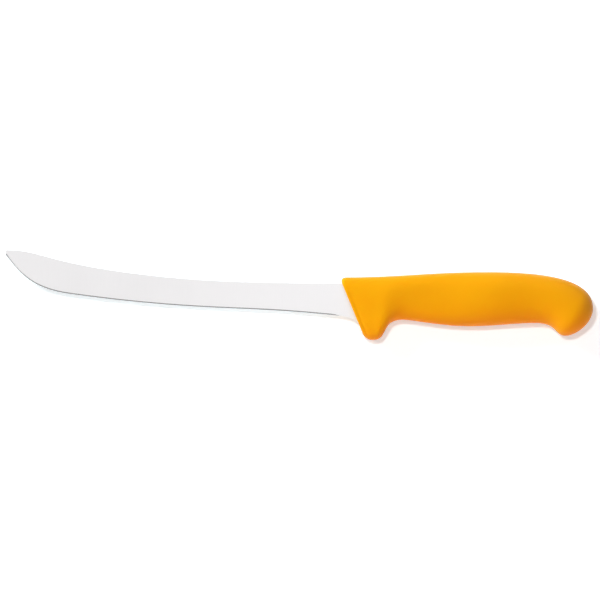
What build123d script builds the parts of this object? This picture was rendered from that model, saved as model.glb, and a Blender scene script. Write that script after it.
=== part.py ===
from build123d import *
from math import acos, cos, degrees, pi, radians, sin, sqrt, tan
import os

# A fish fillet knife lying on its side, in millimetres. The point is at -X, the butt at +X, the
# back of the knife at +Y and the cutting edge at -Y. Reaches are measured along the knife from
# the place where the blade's spine enters the handle, forwards for the blade and backwards for
# the tang and the handle. Rises and depths are measured across it, from the straight rear part
# of that spine.

# Blade
blade_length = 196.6  # along the spine, from the handle to the blunt nose
tip_rise = 19.5
heel_width = 19.0  # spine to edge, at the handle
waist_width = 15.7  # the narrowest place
belly_width = 18.7  # the widest place, behind the point
nose_height = 2.75  # the blunt front of the point
strip_thickness = 1.8  # the steel strip that blade and tang are stamped from
edge_thickness = 0.4  # of the ground steel, just above the cutting bevel
nose_thickness = 0.9
bevel_angle = 15.0  # of each side of the cutting edge, in degrees
apex_thickness = 0.04  # of the finished edge
spine_chamfer = 0.15
unsharpened_length = 7.0  # of the edge, in front of the handle
runout_radius = 25.0  # of the curve on which the sharpening leaves the edge
flare_depth = 26.5  # the steel's lowest place, inside the guard
flare_reach = 12.5

# Tang, which the handle is moulded around
tang_length = 95.0
tang_drop = 3.2  # of its upper side
tang_root_width = 14.2
tang_end_width = 10.5
tang_cover = 4.0  # plastic in front of the steel's full thickness
shoulder_length = 2.75  # along the foot of the tall shoulder behind the heel
shoulder_radius = 3.0
lock_hole_diameter = 6.0
lock_hole_count = 3
lock_hole_reach = 33.0
lock_hole_pitch = 22.0
end_notch_radius = 2.6

# Handle, seen from its side
handle_length = 146.9
front_lean = 22.4  # of the front face from upright, in degrees
back_rise = 3.5  # the back of the handle, at its front
crest_rise = 6.55  # the highest place of the back
crest_from_butt = 62.3
butt_depth = 14.6  # the rearmost place
guard_depth = 33.2
finger_depth = 21.3
finger_reach = 35.6
palm_depth = 25.1
grip_end_depth = 23.2
grip_end_from_butt = 34.4
hook_depth = 30.65
hook_from_butt = 15.9
top_corner_radius = 2.3
guard_corner_radius = 6.0

# Handle, across its two flanks
front_width = 12.6
guard_width = 17.5
neck_width = 15.8
palm_width = 21.0
grip_end_width = 19.6
butt_width = 22.0
front_edge_radius = 0.8
butt_round = 11.0  # length over which the butt closes
front_fullness = 0.82  # of the flanks' round: 0.55 gives an ellipse and 1 a box
butt_fullness = 0.57

lean = radians(front_lean)


def between(low, high, share):
    return low + share * (high - low)


def front(rise, behind=0.0):
    """The reach of the handle's front face at this rise, or of a line that far behind it."""
    return behind / cos(lean) - rise * tan(lean)


# Handle outline, from the top of the front face round the butt to the foot of that face
front_down = Vector(sin(lean), -cos(lean))
top_turn = pi / 2 + lean
guard_turn = pi / 2 - lean
top_run = Vector(top_corner_radius * tan(top_turn / 2), 0)
guard_run = Vector(guard_corner_radius * tan(guard_turn / 2), 0)
top_corner = Vector(front(back_rise), back_rise)
guard_corner = Vector(front(-guard_depth), -guard_depth)
front_top = top_corner + front_down * top_run.X
front_foot = guard_corner - front_down * guard_run.X
crest = Vector(handle_length - crest_from_butt, crest_rise)
butt = Vector(handle_length, -butt_depth)
hook = Vector(handle_length - hook_from_butt, -hook_depth)
grip_end = Vector(handle_length - grip_end_from_butt, -grip_end_depth)
finger = Vector(finger_reach, -finger_depth)
palm = Vector((finger.X + grip_end.X) / 2, -palm_depth)


def swell(start, end, start_pull, end_pull):
    """A curve that is level at both ends, with each pull a share of the reach between them."""
    reach = Vector(end.X - start.X, 0)
    return Bezier(start, start + reach * start_pull, end - reach * end_pull, end)


def turn_down(level_end, upright_end, level_pull, upright_pull):
    """A curve that turns from level to upright, with each pull a share of its own direction."""
    level = Vector(upright_end.X - level_end.X, 0)
    upright = Vector(0, upright_end.Y - level_end.Y)
    ends = (level_end, level_end + level * level_pull, upright_end - upright * upright_pull, upright_end)
    return Bezier(*ends)


with BuildLine() as handle_line:
    TangentArc(front_top, top_corner + top_run, tangent=-front_down)
    swell(top_corner + top_run, crest, 0.38, 0.4)
    turn_down(crest, butt, 0.5, 0.86)
    turn_down(hook, butt, 0.35, 0.56)
    swell(hook, grip_end, 0.4, 0.79)
    swell(grip_end, palm, 0.3, 0.4)
    swell(palm, finger, 0.42, 0.15)
    swell(finger, guard_corner + guard_run, 0.75, 0.57)
    TangentArc(front_foot, guard_corner + guard_run, tangent=front_down)
outline = handle_line.wire()


# Ribs of the handle, as chords between two places of its outline. A rib is given by the run of
# the outline from its top to the rib, its run from its foot to the rib, and half the rib's width.
ribs = []

# The front ribs follow the rounded corners, each at one distance behind the front face.
front_turns = (0, 14, 28, 42, 60, 84)  # of the top corner's arc, in degrees
for turn in front_turns:
    behind = top_corner_radius * (1 - cos(radians(turn)))
    edge_left = 1 - min(behind / front_edge_radius, 1)
    inset = front_edge_radius * (1 - sqrt(1 - edge_left**2))
    foot_turn = acos(1 - behind / guard_corner_radius)
    runs = (top_corner_radius * radians(turn), guard_corner_radius * foot_turn)
    ribs.append((*runs, front_width / 2 - inset))

# The others lie on a smooth law through these: share of the outline from its top, share of it
# from its foot, width. Behind the butt's round they close on one place of the outline.
law_points = [
    (0.027, 0.0195, between(front_width, guard_width, 0.25)),
    (0.0985, 0.035, guard_width),
    (0.152, 0.0745, between(neck_width, guard_width, 0.35)),
    (0.193, 0.123, neck_width),
    (0.261, 0.222, between(neck_width, palm_width, 0.75)),
    (0.299, 0.274, palm_width),
    (0.371, 0.344, grip_end_width),
    (0.446, 0.387, between(grip_end_width, butt_width, 0.6)),
    (0.472, 0.412, butt_width),
    (0.5235, 0.4765, butt_width),
]
rib_count = 32
rib_crowding = 1.5  # more than 1 sets the ribs closer toward the butt
with BuildLine(Plane.XY) as law_line:
    law_ribs = [(top * outline.length, foot * outline.length, width / 2) for top, foot, width in law_points]
    Spline(ribs[-1], *law_ribs)
law = law_line.wire()
closing = outline @ law_points[-1][0]
for k in range(1, rib_count):
    top_run, foot_run, half_width = law @ (1 - (1 - k / rib_count) ** rib_crowding)
    middle = (outline @ (top_run / outline.length) + outline @ (1 - foot_run / outline.length)) / 2
    left = 1 - min((closing - middle).length / butt_round, 1)
    ribs.append((top_run, foot_run, half_width * sqrt(1 - left**2)))


# The knife's box is centred over the origin, and the handle's widest rib lies on the XY plane.
lie_height = max(half_width for top_run, foot_run, half_width in ribs)
home = Vector(
    (blade_length - handle_length) / 2,
    (max(guard_depth, hook_depth) - max(tip_rise, crest_rise)) / 2,
    lie_height,
)
side = Plane(origin=home)


def place(reach, rise, out=0.0):
    """A point of the knife, from its reach, its rise and its distance from the middle plane."""
    return home + Vector(reach, rise, out)


# Blade outline, as stations of its length: share of the length, share of the tip's rise, width
blade_stations = [
    (0.18, 0.02, between(waist_width, heel_width, 0.21)),
    (0.39, 0.086, waist_width),
    (0.63, 0.313, between(waist_width, belly_width, 0.28)),
    (0.79, 0.581, between(waist_width, belly_width, 0.76)),
    (0.85, 0.722, belly_width),
    (0.926, 0.922, between(nose_height, belly_width, 0.853)),
    (0.969, 0.99, between(nose_height, belly_width, 0.47)),
    (1.0, 1.0, nose_height),
]
spine_points = [(-blade_length * share, tip_rise * rise) for share, rise, width in blade_stations]
edge_points = [(x, y - station[2]) for (x, y), station in zip(spine_points, blade_stations)]

# The ground sides are flat from the tang to the knee, and taper from there to the nose.
knee, shank, belly, shoulder, point = range(2, 7)  # stations
overlap = 3.0  # by which a cutting form is drawn larger than what it cuts
shoulder_reach = front(-flare_depth, tang_cover) + shoulder_length
knee_x, knee_y = edge_points[knee]
edge_climb = (knee_y + heel_width) / -knee_x  # from the heel to the knee
ground_slope = (strip_thickness - edge_thickness) / 2 / (heel_width + shoulder_reach * edge_climb)
knee_half = edge_thickness / 2 + ground_slope * blade_stations[knee][2]


def taper_section(spine_station, edge_station, top_half, slope, shift=0.0):
    """A section of the taper from spine to edge, drawn longer at both ends."""
    top = Vector(*spine_points[spine_station]) - Vector(shift, 0)
    bottom = Vector(*edge_points[edge_station]) - Vector(shift, 0)
    run = top - bottom
    low, high = -overlap, run.length + overlap
    low_half = top_half - slope * (run.length - low)
    high_half = top_half - slope * (run.length - high)
    plane = Plane(origin=home + bottom, x_dir=run, z_dir=run.cross(Vector(0, 0, 1)))
    with BuildSketch(plane) as section:
        with BuildLine():
            Polyline((low, -low_half), (high, -high_half), (high, high_half), (low, low_half), close=True)
        make_face()
    return section.sketch.face()


def taper_half(station):
    """Half the thickness of the tapering spine."""
    start = blade_stations[knee][0]
    share = (blade_stations[station][0] - start) / (1 - start)
    return between(knee_half, nose_thickness / 2, share)


def edge_slope(spine_station, edge_station):
    """How fast a section's half thickness falls from its spine to its edge."""
    run = Vector(*spine_points[spine_station]) - Vector(*edge_points[edge_station])
    return (taper_half(spine_station) - edge_thickness / 2) / run.length


point_slope = edge_slope(shoulder, point)

with BuildPart() as taper:
    sections = [
        taper_section(knee, knee, knee_half, ground_slope),
        taper_section(shank, belly, taper_half(shank), edge_slope(shank, belly)),
        taper_section(shoulder, point, taper_half(shoulder), point_slope),
        taper_section(-1, -1, nose_thickness / 2, point_slope, shift=overlap / 3),
    ]
    loft(sections=sections, ruled=True)
    with BuildSketch(Plane(origin=place(knee_x, 0), x_dir=(0, 1, 0), z_dir=(1, 0, 0))):
        Rectangle(4 * heel_width, 2 * strip_thickness)
    extrude(amount=blade_length)

# Tang and sharpening
tang_middle = -tang_drop - tang_root_width / 2
bevel_rise = tan(radians(bevel_angle))
bevel_height = edge_thickness / 2 / bevel_rise
runout_turn = degrees(acos(1 - 2 * bevel_height / runout_radius))

with BuildPart() as blade:
    with BuildSketch(side):
        with BuildLine():
            spine = Spline(
                (front(0, tang_cover / 2), 0),
                *spine_points,
                tangents=[(-1, 0), (-1, 0)],
                tangent_scalars=[1, 1],
            )
            Line(spine @ 1, edge_points[-1])
            edge = Spline(*reversed(edge_points), (0, -heel_width))
            Polyline(edge @ 1, (shoulder_reach, -heel_width), (shoulder_reach, 0), spine @ 0)
        make_face()
    extrude(amount=strip_thickness / 2, both=True)
    for up in (1, -1):
        normal = (-ground_slope * edge_climb, -ground_slope, up)
        flank = Plane(place(shoulder_reach, 0, up * strip_thickness / 2), z_dir=normal)
        split(bisect_by=flank, keep=Keep.BOTTOM)
    add(taper.part, mode=Mode.INTERSECT)
    spine_faces = blade.faces().filter_by(lambda face: face.normal_at().Y > 0.5)
    chamfer(spine_faces.edges().filter_by(lambda line: abs((line % 0.5).Z) < 0.5), spine_chamfer)

    # Cutting edge, ground away on both sides down to a thin apex
    sharpened = edge.trim(0, 1 - unsharpened_length / edge.length).moved(Location(home))
    with BuildLine() as sharpening:
        add(sharpened)
        Line(sharpened @ 0 - (sharpened % 0) * overlap, sharpened @ 0)
        JernArc(sharpened @ 1, sharpened % 1, runout_radius, -runout_turn)
    path = sharpening.wire()
    with BuildSketch(Plane(path @ 0, x_dir=Vector(0, 0, 1).cross(path % 0), z_dir=path % 0)):
        for up in (1, -1):
            with BuildLine():
                Polyline(
                    (-overlap, up * (apex_thickness / 2 - overlap * bevel_rise)),
                    (strip_thickness / bevel_rise, up * (apex_thickness / 2 + strip_thickness)),
                    (-overlap, up * (apex_thickness / 2 + strip_thickness)),
                    close=True,
                )
            make_face()
    sweep(path=path, mode=Mode.SUBTRACT)

    # The heel flares down into the guard, at the thickness of the ground edge.
    with BuildSketch(side):
        with BuildLine():
            flare = Bezier(
                edge @ 1,
                (0.45 * flare_reach, -between(heel_width, flare_depth, 0.09)),
                (0.79 * flare_reach, -between(heel_width, flare_depth, 0.4)),
                (flare_reach, -flare_depth),
            )
            Polyline(flare @ 1, (shoulder_reach, -flare_depth), (shoulder_reach, -heel_width), edge @ 1)
        make_face()
    extrude(amount=edge_thickness / 2, both=True)

    # The tang and its shoulder keep the strip's full thickness.
    with BuildSketch(side) as tang:
        with BuildLine():
            Polyline(
                (front(0, tang_cover), 0),
                (shoulder_reach, 0),
                (shoulder_reach, -tang_drop),
                (tang_length, tang_middle + tang_end_width / 2),
                (tang_length, tang_middle - tang_end_width / 2),
                (shoulder_reach, -tang_drop - tang_root_width),
                (shoulder_reach, -flare_depth),
                (front(-flare_depth, tang_cover), -flare_depth),
                close=True,
            )
        make_face()
        roots = tang.vertices().group_by(Axis.X)[-2].sort_by(Axis.Y)[1:3]
        fillet(roots, min(shoulder_radius, 0.9 * tang_drop))
        lock_holes = [(lock_hole_reach + k * lock_hole_pitch, tang_middle) for k in range(lock_hole_count)]
        with Locations(*lock_holes):
            Circle(lock_hole_diameter / 2, mode=Mode.SUBTRACT)
        with Locations((tang_length, tang_middle)):
            Circle(end_notch_radius, mode=Mode.SUBTRACT)
    extrude(amount=strip_thickness / 2, both=True)

blade.part.label = "blade"

def rib_section(top_run, foot_run, half_width, full):
    """The upper half of the handle's section at a rib, drawn a little past the middle plane."""
    top = outline @ (top_run / outline.length)
    foot = outline @ (1 - foot_run / outline.length)
    chord = top - foot
    half_chord = chord.length / 2
    middle = home + (top + foot) / 2
    with BuildSketch(Plane(middle, x_dir=chord, z_dir=chord.cross(Vector(0, 0, 1)))) as section:
        with BuildLine():
            below = -half_width / 8
            Polyline((half_chord, 0), (half_chord, below), (-half_chord, below), (-half_chord, 0))
            for reach in (half_chord, -half_chord):
                Bezier((reach, 0), (reach, full * half_width), (full * reach, half_width), (0, half_width))
        make_face()
    return section.sketch.face()


with BuildPart() as handle:
    sections = []
    for k, (top_run, foot_run, half_width) in enumerate(ribs):
        full = between(butt_fullness, front_fullness, (1 - k / len(ribs)) ** 2)
        sections.append(rib_section(top_run, foot_run, half_width, full))
    loft(sections=sections)
    split(bisect_by=side, keep=Keep.TOP)
    mirror(about=side)
    add(blade.part, mode=Mode.SUBTRACT)
handle.part.label = "handle"

os.makedirs("parts", exist_ok=True)
export_step(blade.part, "parts/blade.step")
export_step(handle.part, "parts/handle.step")
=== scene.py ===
from math import acos, cos, pi, radians, sin, sqrt, tan

import bmesh
import bpy
import numpy as np
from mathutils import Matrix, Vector


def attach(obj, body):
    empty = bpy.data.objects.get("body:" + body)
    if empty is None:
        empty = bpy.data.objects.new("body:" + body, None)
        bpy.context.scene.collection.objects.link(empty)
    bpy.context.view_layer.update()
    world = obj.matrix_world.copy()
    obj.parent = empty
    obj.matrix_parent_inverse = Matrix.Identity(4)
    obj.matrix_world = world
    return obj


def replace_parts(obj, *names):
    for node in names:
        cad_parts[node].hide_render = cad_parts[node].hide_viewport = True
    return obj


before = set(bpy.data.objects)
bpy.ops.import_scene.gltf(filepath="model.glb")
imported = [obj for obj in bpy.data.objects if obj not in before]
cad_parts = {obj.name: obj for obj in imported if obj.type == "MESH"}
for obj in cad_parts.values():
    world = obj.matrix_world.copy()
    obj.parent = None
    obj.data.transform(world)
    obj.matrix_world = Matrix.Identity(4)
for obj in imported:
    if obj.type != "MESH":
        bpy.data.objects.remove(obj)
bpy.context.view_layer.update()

# Sizes are in millimetres. The point is at -X, the butt at +X, the back of the knife at +Y and
# the cutting edge at -Y. Reaches and rises start where the spine enters the handle.
MM = 0.001

# Blade
blade_length = 196.6
tip_rise = 19.5
heel_width = 19.0
waist_width = 15.7
belly_width = 18.7
nose_height = 2.75
strip_thickness = 1.8
edge_thickness = 0.4
nose_thickness = 0.9
bevel_angle = radians(15)
apex_thickness = 0.04
spine_round = 0.15
unsharpened_length = 7.0
runout_radius = 25.0
flare_depth = 26.5
flare_reach = 12.5

# Tang
tang_length = 95.0
tang_drop = 3.2
tang_root_width = 14.2
tang_end_width = 10.5
tang_cover = 4.0
shoulder_length = 2.75
lock_hole_radius = 3.0
lock_hole_reaches = (33.0, 55.0, 77.0)
end_notch_radius = 2.6

# Handle
handle_length = 146.9
lean = radians(22.4)
back_rise = 3.5
crest_rise, crest_reach = 6.55, handle_length - 62.3
butt_depth = 14.6
guard_depth = 33.2
finger_depth, finger_reach = 21.3, 35.6
palm_depth = 25.1
grip_end_depth, grip_end_reach = 23.2, handle_length - 34.4
hook_depth, hook_reach = 30.65, handle_length - 15.9
top_corner_radius = 2.3
guard_corner_radius = 6.0
front_width = 12.6
guard_width = 17.5
neck_width = 15.8
palm_width = 21.0
grip_end_width = 19.6
butt_width = 22.0
front_edge_radius = 0.8
butt_round = 11.0
front_fullness, butt_fullness = 0.82, 0.57
parting_line_height = 0.05
parting_line_half_width = 0.22

# Surroundings. The floor is in metres, and so is the camera's height over it.
floor_size = 1.4
picture_width = 600  # in pixels
pixel_size = 0.585
view_reach, view_rise, view_height = 0.29, -2.86, 1.0

# The knife lies on the handle's side, with the middle of its length and height over the origin.
lie_height = 10.923
home = np.array([(blade_length - handle_length) / 2, (guard_depth - tip_rise) / 2, lie_height])


def between(low, high, share):
    """The value at this share of the way from low to high."""
    return low + share * (high - low)


def front(rise, behind=0.0):
    """The reach of the handle's front face at this rise, or of a line that far behind it."""
    return behind / cos(lean) - rise * tan(lean)


def bezier(start, start_pull, end_pull, end, count=60):
    """Points of a cubic curve, as rows of reach and rise."""
    t = np.linspace(0, 1, count)[:, None]
    hull = [np.array(p, float) for p in (start, start_pull, end_pull, end)]
    weights = (1 - t)**3, 3 * t * (1 - t)**2, 3 * t**2 * (1 - t), t**3
    return sum(weight * point for weight, point in zip(weights, hull))


def smooth_through(knots, count=400):
    """A natural cubic curve through the knots, as rows that are evenly spaced along it."""
    knots = np.array(knots, float)
    place = np.concatenate([[0], np.cumsum(np.linalg.norm(np.diff(knots, axis=0), axis=1))])
    gap = np.diff(place)
    size = len(knots)
    matrix, right = np.eye(size), np.zeros_like(knots)
    for i in range(1, size - 1):
        matrix[i, i - 1:i + 2] = gap[i - 1], 2 * (gap[i - 1] + gap[i]), gap[i]
        right[i] = 6 * ((knots[i + 1] - knots[i]) / gap[i] - (knots[i] - knots[i - 1]) / gap[i - 1])
    bend = np.linalg.solve(matrix, right)
    rows = []
    for t in np.linspace(0, place[-1], 6 * count):
        i = min(np.searchsorted(place, t, side="right") - 1, size - 2)
        a, b, h = place[i + 1] - t, t - place[i], gap[i]
        straight = (knots[i] / h - bend[i] * h / 6) * a + (knots[i + 1] / h - bend[i + 1] * h / 6) * b
        rows.append(bend[i] * a**3 / (6 * h) + bend[i + 1] * b**3 / (6 * h) + straight)
    return evenly(np.array(rows), count)


def run_along(rows):
    """The length along a row of points, up to each of them."""
    return np.concatenate([[0], np.cumsum(np.linalg.norm(np.diff(rows, axis=0), axis=1))])


def at_run(rows, runs):
    """The points of a line at these lengths along it."""
    lengths = run_along(rows)
    return np.stack([np.interp(runs, lengths, rows[:, axis]) for axis in range(rows.shape[1])], axis=-1)


def evenly(rows, count):
    return at_run(rows, np.linspace(0, run_along(rows)[-1], count))


def place_in_scene(name, data):
    """A new object in the scene that holds this mesh, lamp or camera."""
    thing = bpy.data.objects.new(name, data)
    bpy.context.scene.collection.objects.link(thing)
    return thing


def knife_piece(name, bm, material):
    """A piece made from these faces, which rides on the knife and takes this material."""
    bmesh.ops.recalc_face_normals(bm, faces=bm.faces)
    mesh = bpy.data.meshes.new(name)
    bm.to_mesh(mesh)
    bm.free()
    piece = place_in_scene(name, mesh)
    mesh.materials.append(material)
    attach(piece, "root")
    return piece


def new_piece(name, verts, faces, material):
    """A piece from vertices in millimetres and their faces."""
    draft = bpy.data.meshes.new(f"{name}_draft")
    draft.from_pydata([tuple((home + np.array(v)) * MM) for v in verts], [], faces)
    draft.validate()
    bm = bmesh.new()
    bm.from_mesh(draft)
    bpy.data.meshes.remove(draft)
    return knife_piece(name, bm, material)


def flat_sheet(name, width, height):
    """A level rectangle round the origin, in metres."""
    mesh = bpy.data.meshes.new(name)
    corners = [(-width, -height), (width, -height), (width, height), (-width, height)]
    mesh.from_pydata([(x / 2, y / 2, 0) for x, y in corners], [], [(0, 1, 2, 3)])
    return place_in_scene(name, mesh)


def shade_smooth(piece, sharp_angle):
    """Smooth shading that breaks at edges sharper than this angle."""
    mesh = piece.data
    for face in mesh.polygons:
        face.use_smooth = True
    bm = bmesh.new()
    bm.from_mesh(mesh)
    for edge in bm.edges:
        if len(edge.link_faces) == 2 and edge.calc_face_angle(0) > sharp_angle:
            edge.smooth = False
    bm.to_mesh(mesh)
    bm.free()


def skin(rings):
    """Vertices and faces of a skin over closed rings of equal size, with a face on each end."""
    size = len(rings[0])
    verts = [tuple(p) for ring in rings for p in ring]
    faces = []
    for k in range(len(rings) - 1):
        for i in range(size):
            j = (i + 1) % size
            faces.append((k * size + i, k * size + j, (k + 1) * size + j, (k + 1) * size + i))
    faces.append(tuple(range(size)))
    faces.append(tuple((len(rings) - 1) * size + i for i in range(size)))
    return verts, faces


# Materials
class Value:
    """A shader value that Python's operators work on."""

    def __init__(self, shader, socket):
        self.shader, self.socket = shader, socket

    def math(self, operation, *others):
        return self.shader.node("ShaderNodeMath", {"operation": operation}, [self, *others])

    def __add__(self, other):
        return self.math("ADD", other)

    def __mul__(self, other):
        return self.math("MULTIPLY", other)

    def __sub__(self, other):
        return self.math("SUBTRACT", other)

    def __rsub__(self, other):
        return self * -1 + other

    __radd__ = __add__
    __rmul__ = __mul__


class Shader:
    """The nodes of a material or a world, with one method that adds any of them."""

    def __init__(self, owner):
        owner.use_nodes = True
        self.owner, self.tree = owner, owner.node_tree
        self.tree.nodes.clear()

    def node(self, kind, settings, inputs, output=0):
        node = self.tree.nodes.new(kind)
        for key, value in settings.items():
            setattr(node, key, value)
        pairs = inputs.items() if isinstance(inputs, dict) else enumerate(inputs)
        for key, value in pairs:
            if isinstance(value, Value):
                self.tree.links.new(value.socket, node.inputs[key])
            elif value is not None:
                node.inputs[key].default_value = value
        return Value(self, node.outputs[output]) if len(node.outputs) else None

    def mix_colour(self, factor, first, second):
        return self.node("ShaderNodeMix", {"data_type": "RGBA"}, {0: factor, 6: first, 7: second}, output=2)

    def seen_plainly(self):
        """One for what the camera sees, straight or in metal or glass, and nothing for other rays."""
        camera, glossy, transmission = (
            self.node("ShaderNodeLightPath", {}, {}, output=f"Is {kind} Ray")
            for kind in ("Camera", "Glossy", "Transmission")
        )
        return camera + glossy + transmission

    def noise(self, place, scale, detail, roughness=0.55):
        inputs = {"Vector": place, "Scale": scale, "Detail": detail, "Roughness": roughness}
        return self.node("ShaderNodeTexNoise", {}, inputs)

    def between(self, value, low, high):
        """Nothing at the low value and below, one at the high value and above."""
        return self.node("ShaderNodeMapRange", {"clamp": True}, [value, low, high, 0.0, 1.0])

    def place(self):
        """The surface's own place, in metres."""
        return self.node("ShaderNodeTexCoord", {}, {}, output="Object")

    def stretched(self, place, scale):
        """The place, stretched along the axes, so that a pattern on it gets a grain."""
        return self.node("ShaderNodeMapping", {}, {"Vector": place, "Scale": scale})

    def bump(self, height, distance, strength, under=None):
        """A finely raised surface, on top of another one where that is given."""
        inputs = {"Height": height, "Distance": distance, "Strength": strength, "Normal": under}
        return self.node("ShaderNodeBump", {}, inputs)

    def finish(self, **sockets):
        names = {key.replace("_", " ").title(): value for key, value in sockets.items()}
        names = {key.replace("Ior", "IOR"): value for key, value in names.items()}
        surface = self.node("ShaderNodeBsdfPrincipled", {}, names)
        self.node("ShaderNodeOutputMaterial", {}, {"Surface": surface})
        return self.owner


def yellow_plastic():
    """Pigmented moulded plastic with a fine spark-eroded grain, slightly cloudy within."""
    shader = Shader(bpy.data.materials.new("yellow_plastic"))
    place = shader.place()
    cloud = shader.between(shader.noise(place, 45.0, detail=3.0), 0.3, 0.7)
    speck = shader.between(shader.noise(place, 900.0, detail=2.0), 0.35, 0.7)
    colour = shader.mix_colour(cloud, (0.82, 0.34, 0.0015, 1), (0.84, 0.354, 0.002, 1))
    rub = shader.between(shader.noise(place, 130.0, detail=6.0, roughness=0.7), 0.4, 0.75)
    roughness = 0.44 + 0.07 * rub - 0.04 * speck
    grain = shader.noise(place, 2600.0, detail=3.0, roughness=0.6)
    swell = shader.noise(place, 60.0, detail=1.0)
    normal = shader.bump(grain, 0.00004, 0.35, under=shader.bump(swell, 0.0003, 0.12))
    return shader.finish(
        base_color=colour,
        roughness=roughness,
        normal=normal,
        subsurface_weight=0.2,
        subsurface_radius=(1.0, 0.4, 0.1),
        subsurface_scale=0.0015,
        specular_ior_level=0.12,
    )


def ground_steel(name, bright, rough, scratch):
    """Stainless steel, ground across the blade, with some finer and some deeper scratches."""
    shader = Shader(bpy.data.materials.new(name))
    place = shader.place()
    lines = shader.noise(shader.stretched(place, (9000.0, 120.0, 9000.0)), 1.0, detail=3.0, roughness=0.65)
    deep = shader.noise(shader.stretched(place, (2500.0, 45.0, 2500.0)), 1.0, detail=2.0)
    haze = shader.between(shader.noise(place, 28.0, detail=3.0), 0.3, 0.7)
    reach = shader.node("ShaderNodeSeparateXYZ", {}, [place])
    # Along the blade's length the colour runs from darker towards the point to lighter towards the handle.
    lighter_to_handle = shader.between(reach, -0.13, 0.02)
    tone = 0.25 * shader.between(lines + deep, 0.6, 1.4) + 0.75 * lighter_to_handle
    # The darker tone serves both the scratches and the darker end of the blade's length.
    darker_tone = tuple(0.91 * c for c in bright)
    colour = shader.mix_colour(tone, (*darker_tone, 1), (*bright, 1))
    roughness = rough + 0.05 * haze + 0.06 * lines
    normal = shader.bump(lines, 0.000012, scratch, under=shader.bump(deep, 0.00002, 0.5 * scratch))
    return shader.finish(base_color=colour, metallic=1.0, roughness=roughness, normal=normal)


# Handle outline and ribs
def handle_outline():
    """The handle seen from its side, from the front face's top round the butt to its foot."""
    top_run = top_corner_radius * tan((pi / 2 + lean) / 2)
    guard_run = guard_corner_radius * tan((pi / 2 - lean) / 2)
    top_start = np.array([front(back_rise) + top_run, back_rise])
    guard_end = np.array([front(-guard_depth) + guard_run, -guard_depth])
    crest = np.array([crest_reach, crest_rise])
    butt = np.array([handle_length, -butt_depth])
    hook = np.array([hook_reach, -hook_depth])
    grip_end = np.array([grip_end_reach, -grip_end_depth])
    finger = np.array([finger_reach, -finger_depth])
    palm = np.array([(finger_reach + grip_end_reach) / 2, -palm_depth])

    def arc(end, radius, start_angle, end_angle, up):
        angles = np.linspace(start_angle, end_angle, 60)
        centre = end - np.array([0, up * radius])
        return centre + radius * np.stack([np.cos(angles), np.sin(angles)], axis=-1)

    def swell(start, end, start_pull, end_pull):
        reach = np.array([end[0] - start[0], 0])
        return bezier(start, start + reach * start_pull, end - reach * end_pull, end, 120)

    def turn_down(level, upright, level_pull, upright_pull):
        across = np.array([upright[0] - level[0], 0])
        along = np.array([0, upright[1] - level[1]])
        return bezier(level, level + across * level_pull, upright - along * upright_pull, upright, 160)

    stretches = [
        arc(top_start, top_corner_radius, pi + lean, pi / 2, 1),
        swell(top_start, crest, 0.38, 0.4),
        turn_down(crest, butt, 0.5, 0.86),
        turn_down(hook, butt, 0.35, 0.56)[::-1],
        swell(hook, grip_end, 0.4, 0.79),
        swell(grip_end, palm, 0.3, 0.4),
        swell(palm, finger, 0.42, 0.15),
        swell(finger, guard_end, 0.75, 0.57),
        arc(guard_end, guard_corner_radius, 1.5 * pi, pi + lean, -1),
    ]
    rows = np.concatenate([stretch[:-1] for stretch in stretches[:-1]] + [stretches[-1]])
    return evenly(rows, 6000)


def handle_ribs(outline):
    """Each rib's run from the top, run from the foot, half width and share of the way back."""
    length = run_along(outline)[-1]
    turns = np.array([0, 14, 28, 42, 60, 84])
    law_points = [
        (0.027, 0.0195, between(front_width, guard_width, 0.25)),
        (0.07, 0.028, between(front_width, guard_width, 0.7)),
        (0.0985, 0.035, guard_width),
        (0.122, 0.05, between(neck_width, guard_width, 0.6)),
        (0.152, 0.0745, between(neck_width, guard_width, 0.1)),
        (0.193, 0.123, neck_width),
        (0.261, 0.222, between(neck_width, palm_width, 0.75)),
        (0.299, 0.274, palm_width),
        (0.371, 0.344, grip_end_width),
        (0.446, 0.387, between(grip_end_width, butt_width, 0.6)),
        (0.472, 0.412, butt_width),
        (0.5235, 0.4765, butt_width),
    ]
    law_steps, law_ribs = 32, 220
    rib_total = len(turns) + law_steps - 1
    ribs = []
    for turn in np.linspace(0, turns[-1], 16):
        behind = top_corner_radius * (1 - cos(radians(turn)))
        edge_left = 1 - min(behind / front_edge_radius, 1)
        inset = front_edge_radius * (1 - sqrt(1 - edge_left**2))
        foot_turn = acos(1 - behind / guard_corner_radius)
        share = np.interp(turn, turns, range(len(turns))) / rib_total
        top_run = top_corner_radius * radians(turn)
        ribs.append((top_run, guard_corner_radius * foot_turn, front_width / 2 - inset, share))
    knots = [ribs[-1][:3]] + [(top * length, foot * length, width / 2) for top, foot, width in law_points]
    law = smooth_through(knots)
    closing = at_run(outline, law_points[-1][0] * length)
    for step in np.linspace(0, law_steps - 1, law_ribs)[1:]:
        run = (1 - (1 - step / law_steps)**1.5) * run_along(law)[-1]
        top_run, foot_run, half_width = at_run(law, run)
        middle = (at_run(outline, top_run) + at_run(outline, length - foot_run)) / 2
        left = 1 - min(np.linalg.norm(closing - middle) / butt_round, 1)
        ribs.append((top_run, foot_run, half_width * sqrt(1 - left**2), (len(turns) - 1 + step) / rib_total))
    return ribs


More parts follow.
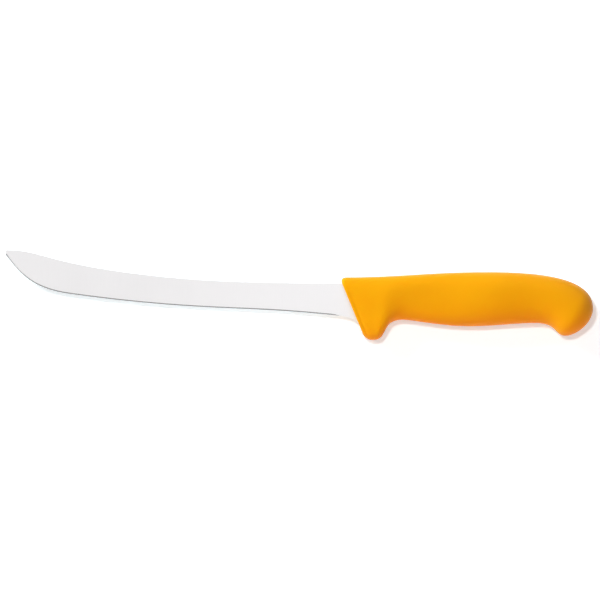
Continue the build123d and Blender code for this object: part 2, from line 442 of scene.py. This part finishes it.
def handle_piece(material):
    """The moulding, as a skin over its ribs, with the thin line where the mould's halves met."""
    outline = handle_outline()
    length = run_along(outline)[-1]
    quarter_points = 400
    near_line = [0.0, 0.006, 0.014, 0.03]
    steps = np.array(near_line + list(np.linspace(0.06, 1, 24)))
    rings = []
    for top_run, foot_run, half_width, share in handle_ribs(outline):
        top, foot = at_run(outline, top_run), at_run(outline, length - foot_run)
        half_chord = np.linalg.norm(top - foot) / 2
        along, middle = (top - foot) / (2 * half_chord), (top + foot) / 2
        full = between(butt_fullness, front_fullness, (1 - share)**2)
        corner = (half_chord, full * half_width), (full * half_chord, half_width)
        quarter = bezier((half_chord, 0), *corner, (0, half_width), quarter_points)
        quarter = quarter[(steps * (quarter_points - 1)).round().astype(int)]
        ridge = np.clip(1 - quarter[:, 1] / parting_line_half_width, 0, 1)
        quarter[:, 0] += parting_line_height * ridge * min(1, half_chord / 3)
        upper = np.concatenate([quarter, (quarter * [-1, 1])[::-1][1:]])
        ring = np.concatenate([upper, (upper * [1, -1])[::-1][1:-1]])
        rings.append([(*(middle + along * across), out) for across, out in ring])
    verts, faces = skin(rings)
    piece = new_piece("handle_moulding", verts, faces, material)
    shade_smooth(piece, radians(35))
    return piece


# Blade
def blade_lines():
    """The spine and the edge, each as rows of reach and rise from the handle to the nose."""
    stations = [
        (0.18, 0.02, between(waist_width, heel_width, 0.21)),
        (0.39, 0.086, waist_width),
        (0.63, 0.313, between(waist_width, belly_width, 0.28)),
        (0.79, 0.581, between(waist_width, belly_width, 0.76)),
        (0.85, 0.722, belly_width),
        (0.926, 0.922, between(nose_height, belly_width, 0.853)),
        (0.969, 0.99, between(nose_height, belly_width, 0.47)),
        (1.0, 1.0, nose_height),
    ]
    spine_points = [(-blade_length * share, tip_rise * rise) for share, rise, width in stations]
    edge_points = [(x, y - station[2]) for (x, y), station in zip(spine_points, stations)]
    spine = smooth_through([(front(0, tang_cover), 0), (front(0, tang_cover / 2), 0), *spine_points], 1200)
    edge = smooth_through([(0, -heel_width), *edge_points], 1200)
    return spine, edge, spine_points, edge_points


def blade_piece(material, bevel_material):
    """The ground blade, in upright sections from inside the handle to the nose."""
    spine, edge, spine_points, edge_points = blade_lines()
    flare = bezier(
        (0, -heel_width),
        (0.45 * flare_reach, -between(heel_width, flare_depth, 0.09)),
        (0.79 * flare_reach, -between(heel_width, flare_depth, 0.4)),
        (flare_reach, -flare_depth),
        100,
    )
    edge = np.concatenate([flare[::-1][:-1], edge])
    edge_run = run_along(edge)
    flare_run = run_along(flare)[-1]
    knee = 2
    knee_x, knee_y = edge_points[knee]
    climb = (knee_y + heel_width) / -knee_x
    shoulder_reach = front(-flare_depth, tang_cover) + shoulder_length
    slope = (strip_thickness - edge_thickness) / 2 / (heel_width + shoulder_reach * climb)
    knee_half = edge_thickness / 2 + slope * (spine_points[knee][1] - edge_points[knee][1])

    def half_thickness(x, y):
        """Half the steel's thickness: flat ground sides to the knee, then a taper to the nose."""
        flat = strip_thickness / 2 + slope * climb * (x - shoulder_reach) + slope * y
        if x < knee_x:
            share = (knee_x - x) / (blade_length + knee_x)
            top = between(knee_half, nose_thickness / 2, share)
            low = edge_thickness / 2
            high_y, low_y = np.interp(-x, -spine[:, 0], spine[:, 1]), np.interp(-x, -edge[:, 0], edge[:, 1])
            flat = between(low, top, (y - low_y) / (high_y - low_y))
        return min(max(flat, edge_thickness / 2), strip_thickness / 2)

    bevel_height = (edge_thickness - apex_thickness) / 2 / tan(bevel_angle)
    flats = 14
    heading_span = 0.3
    least_bevel, least_uprightness = 0.02, 0.45
    tip_start = -170
    rings = []
    reaches = np.concatenate([
        np.linspace(flare_reach, -1, 60)[:-1],
        np.linspace(-1, tip_start, 260)[:-1],
        np.linspace(tip_start, -blade_length, 110),
    ])
    for x in reaches:
        top = np.interp(-x, -spine[:, 0], spine[:, 1])
        low = np.interp(-x, -edge[:, 0], edge[:, 1])
        run = np.interp(-x, -edge[:, 0], edge_run)
        ahead, behind = at_run(edge, run + heading_span), at_run(edge, max(run - heading_span, 0))
        heading = (ahead - behind) / np.linalg.norm(ahead - behind)
        inward = np.array([heading[1], -heading[0]]) * (1 if heading[0] < 0 else -1)
        inward *= 1 if inward[1] > 0 else -1
        blunt = run - flare_run - unsharpened_length
        height = bevel_height
        if blunt < 0:
            height = max(bevel_height - blunt**2 / (2 * runout_radius), 0)
        apex_half = apex_thickness / 2 + (bevel_height - height) * tan(bevel_angle)
        rise = max(height, least_bevel) / max(inward[1], least_uprightness)
        shoulder = low + min(rise, 0.3 * (top - low))
        heights = [top, top - 0.25 * spine_round, top - spine_round]
        heights += list(np.linspace(top - spine_round, shoulder, flats + 1)[1:])
        halves = [half_thickness(x, y) for y in heights]
        halves[0] -= spine_round
        halves[1] -= 0.3 * spine_round
        half_ring = list(zip(heights, halves)) + [(low, apex_half)]
        ring = [(x, y, z) for y, z in half_ring] + [(x, y, -z) for y, z in half_ring[::-1]]
        rings.append(ring)
    verts, faces = skin(rings)
    piece = new_piece("blade_steel", verts, faces, material)
    piece.data.materials.append(bevel_material)
    size = len(rings[0])
    half = size // 2
    for face in piece.data.polygons:
        spots = {v % size for v in face.vertices}
        if len(face.vertices) == 4 and spots <= {half - 2, half - 1, half, half + 1}:
            face.material_index = 1
    shade_smooth(piece, radians(7))
    return piece


def tang_piece(material):
    """The tang inside the plastic: a plate with lock holes, a notched end and a tall shoulder."""
    middle = -tang_drop - tang_root_width / 2
    shoulder_reach = front(-flare_depth, tang_cover) + shoulder_length
    rim = [
        (front(0, tang_cover), 0),
        (shoulder_reach, 0),
        (shoulder_reach, -tang_drop),
        (tang_length, middle + tang_end_width / 2),
    ]
    angles = np.linspace(pi / 2, 1.5 * pi, 13)
    rim += [(tang_length + end_notch_radius * cos(a), middle + end_notch_radius * sin(a)) for a in angles]
    rim += [
        (tang_length, middle - tang_end_width / 2),
        (shoulder_reach, -tang_drop - tang_root_width),
        (shoulder_reach, -flare_depth),
        (front(-flare_depth, tang_cover), -flare_depth),
    ]
    loops = [rim]
    for reach in lock_hole_reaches:
        turns = np.linspace(0, 2 * pi, 25)[:-1]
        loops.append([(reach + lock_hole_radius * cos(a), middle + lock_hole_radius * sin(a)) for a in turns])
    bm = bmesh.new()
    edges = []
    for loop in loops:
        corners = [bm.verts.new((home + np.array((x, y, -strip_thickness / 2))) * MM) for x, y in loop]
        edges += [bm.edges.new((a, b)) for a, b in zip(corners, corners[1:] + corners[:1])]
    plate = bmesh.ops.triangle_fill(bm, use_beauty=True, use_dissolve=False, edges=edges)
    faces = [part for part in plate["geom"] if isinstance(part, bmesh.types.BMFace)]
    raised = bmesh.ops.extrude_face_region(bm, geom=faces)
    up = [part for part in raised["geom"] if isinstance(part, bmesh.types.BMVert)]
    bmesh.ops.translate(bm, verts=up, vec=Vector((0, 0, strip_thickness * MM)))
    return knife_piece("tang_steel", bm, material)


# Surroundings
def white_floor():
    """A plain white floor that keeps the knife's shadow."""
    floor = flat_sheet("floor", floor_size, floor_size)
    shader = Shader(bpy.data.materials.new("white_floor"))
    paper = shader.node("ShaderNodeBsdfDiffuse", {}, {"Color": (0.86, 0.9, 0.91, 1)})
    lift = shader.node("ShaderNodeEmission", {}, {"Color": (0.89, 0.97, 1, 1), "Strength": 0.42})
    lifted = shader.node("ShaderNodeAddShader", {}, [paper, lift])
    both = shader.node("ShaderNodeMixShader", {}, [shader.seen_plainly(), paper, lifted])
    shader.node("ShaderNodeOutputMaterial", {}, {"Surface": both})
    floor.data.materials.append(shader.owner)


def lamp(name, towards, distance, size, energy, colour, shadow=True):
    """A round soft lamp that stands in this direction from the knife and faces it."""
    light = bpy.data.lights.new(name, "AREA")
    light.shape = "DISK"
    light.size = size
    light.energy = energy
    light.color = colour
    light.use_shadow = shadow
    holder = place_in_scene(name, light)
    holder.location = Vector(towards).normalized() * distance
    holder.rotation_euler = Vector(towards).to_track_quat("Z", "Y").to_euler()
    holder.visible_glossy = False


def studio():
    """A white tent over the knife, with a lamp, a window and two reflectors that cast no shadow."""
    tent = Shader(bpy.data.worlds.new("tent"))
    fill = tent.node("ShaderNodeBackground", {}, {"Color": (1, 0.65, 0.65, 1), "Strength": 0.23})
    cloth = tent.node("ShaderNodeBackground", {}, {"Color": (1, 1, 1, 1), "Strength": 1.0})
    both = tent.node("ShaderNodeMixShader", {}, [tent.seen_plainly(), fill, cloth])
    tent.node("ShaderNodeOutputWorld", {}, {"Surface": both})
    bpy.context.scene.world = tent.owner
    lamp("key", (-0.07, 0.19, 1.0), 1.6, 0.16, 10.8, (0.96, 1, 1))
    lamp("window", (-0.74, 0.74, 0.56), 3.0, 1.2, 77, (0.9, 1, 1))
    lamp("point_reflector", (-1.0, 0.15, 0.2), 2.0, 0.6, 16, (0.5, 1, 1), shadow=False)
    lamp("gold_reflector", (0.1, -1.0, 0.12), 2.0, 0.6, 20, (1, 0.42, 0.25), shadow=False)


def grey_card(name, place, width, height, tone):
    """A card that faces the knife and only shows in mirrors, so that white steel keeps its outline."""
    card = flat_sheet(name, width, height)
    card.location = place
    card.rotation_euler = (-Vector(place)).to_track_quat("Z", "Y").to_euler()
    card.visible_camera = card.visible_diffuse = card.visible_shadow = False
    shader = Shader(bpy.data.materials.new(name))
    cloth = shader.node("ShaderNodeEmission", {}, {"Color": (1, 1, 1, 1), "Strength": tone})
    shader.node("ShaderNodeOutputMaterial", {}, {"Surface": cloth})
    card.data.materials.append(shader.owner)


def camera():
    """Straight down on the lying knife."""
    view = bpy.data.cameras.new("camera")
    view.type = "ORTHO"
    view.ortho_scale = picture_width * pixel_size * MM
    holder = place_in_scene("camera", view)
    holder.location = (view_reach * MM, view_rise * MM, view_height)
    bpy.context.scene.camera = holder


plastic = yellow_plastic()
steel = ground_steel("ground_steel", (0.965, 0.95, 0.957), 0.27, 0.5)
polished = ground_steel("polished_edge", (0.93, 0.93, 0.93), 0.16, 0.2)
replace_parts(handle_piece(plastic), "handle")
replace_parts(blade_piece(steel, polished), "blade")
tang_piece(steel)
white_floor()
studio()
grey_card("card_before_edge", (0, -0.65, 0.75), 2.4, 0.66, 0.3)
for side, place in (
    ("before_edge", (0, -1.4, 0.65)),
    ("behind_back", (0, 1.4, 0.65)),
    ("beyond_point", (-1.4, 0, 0.65)),
    ("beyond_butt", (1.4, 0, 0.65)),
):
    grey_card(f"card_low_{side}", place, 2.8, 1.2, 0.65)
camera()
bpy.context.scene.view_settings.view_transform = "Standard"
